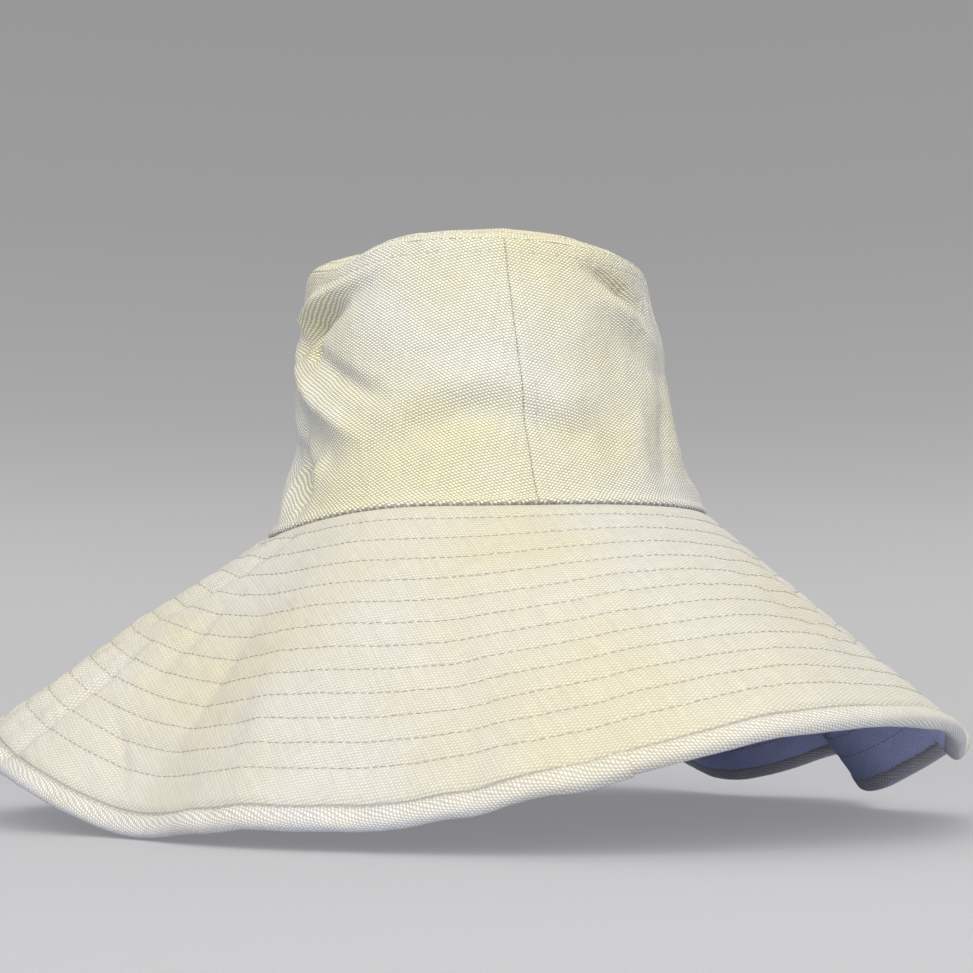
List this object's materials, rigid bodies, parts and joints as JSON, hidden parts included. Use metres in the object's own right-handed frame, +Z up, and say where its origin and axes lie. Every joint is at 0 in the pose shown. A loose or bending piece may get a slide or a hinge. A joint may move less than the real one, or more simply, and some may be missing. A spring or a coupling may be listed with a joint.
{
  "type": "wide-brim bucket hat",
  "caption": "Undyed canvas sun hat with a panelled crown, an oval tip and a wide, quilted, wavy brim with a bound edge, standing on its brim.",
  "frame": {"origin": "under the middle of the hat's box, on the surface that its brim stands on", "axes": "+Z up through the crown; +X to the right seen from the front, along the greatest width; +Y towards the back"},
  "size_m": [0.413, 0.406, 0.246],
  "materials": {
    "crown_canvas": "matt undyed heavy plain-weave canvas",
    "brim_canvas": "matt undyed heavy plain-weave canvas, quilted in rows",
    "brim_canvas_under": "matt undyed plain-weave canvas, the wrong side",
    "binding_canvas": "matt undyed canvas strip, folded over the edge",
    "interlining": "stiff non-woven interlining",
    "sweatband_twill": "soft cotton twill",
    "seam_tape": "narrow cotton tape",
    "label_cloth": "blank woven label",
    "thread": "matt cotton-wrapped sewing thread"
  },
  "bodies": {
    "root": {"crown_tip": "crown_canvas", "crown_panel_left": "crown_canvas", "crown_panel_right": "crown_canvas", "tip_seam_tape": "seam_tape", "side_seam_tape_front": "seam_tape", "side_seam_tape_back": "seam_tape", "sweatband": "sweatband_twill", "size_label": "label_cloth", "brim_top_front": "brim_canvas", "brim_top_back": "brim_canvas", "brim_interlining_front": "interlining", "brim_interlining_back": "interlining", "brim_under_front": "brim_canvas_under", "brim_under_back": "brim_canvas_under", "brim_binding": "binding_canvas", "brim_quilting_thread": "thread", "binding_stitch": "thread", "sweatband_stitch": "thread", "tip_topstitch_lower": "thread", "tip_topstitch_upper": "thread", "crown_topstitch_front_left": "thread", "crown_topstitch_front_right": "thread", "crown_topstitch_back_left": "thread", "crown_topstitch_back_right": "thread"}
  },
  "joints": []
}
